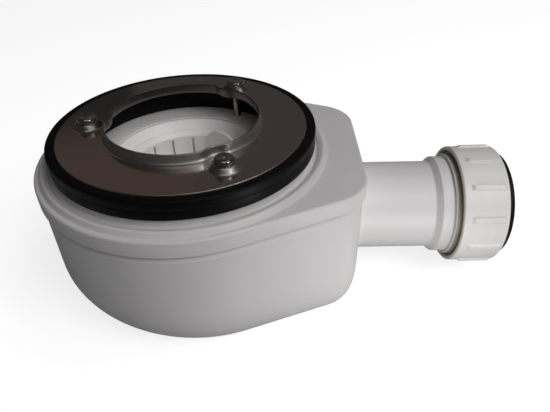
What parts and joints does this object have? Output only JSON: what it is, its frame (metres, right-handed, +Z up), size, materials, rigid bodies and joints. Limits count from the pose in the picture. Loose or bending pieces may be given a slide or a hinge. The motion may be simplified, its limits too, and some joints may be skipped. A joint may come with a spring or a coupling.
{
  "type": "shower trap",
  "caption": "Low white shower trap with a side compression outlet, a polished steel clamp plate between black gaskets, and a lift-out dip tube with a hair basket.",
  "frame": {"origin": "on the axis of the waste opening, in the plane of the flat foot that the trap stands on", "axes": "+X from the waste axis towards the outlet, along the outlet pipe; +Z up, along the waste axis; +Y completes the right-handed frame"},
  "size_m": [0.2085, 0.129, 0.083],
  "materials": {
    "body_white": "satin white moulded polypropylene",
    "insert_white": "smooth white moulded polypropylene",
    "nut_white": "slightly glossy warm white moulding",
    "gasket_rubber": "smooth black rubber with a soft sheen",
    "seal_rubber": "smooth black rubber",
    "polished_steel": "mirror-polished stainless steel sheet",
    "screw_steel": "bright stainless steel",
    "brass": "turned brass"
  },
  "bodies": {
    "root": {"tub": "body_white", "deck": "body_white", "screw_inserts": "brass", "lower_gasket": "gasket_rubber", "upper_gasket": "gasket_rubber", "clamp_plate": "polished_steel", "plate_screws": "screw_steel", "dip_tube": "insert_white", "dip_tube_o_ring": "seal_rubber", "hair_basket": "insert_white", "compression_nut": "nut_white", "slip_washer": "insert_white", "outlet_lip_seal": "seal_rubber"}
  },
  "joints": []
}
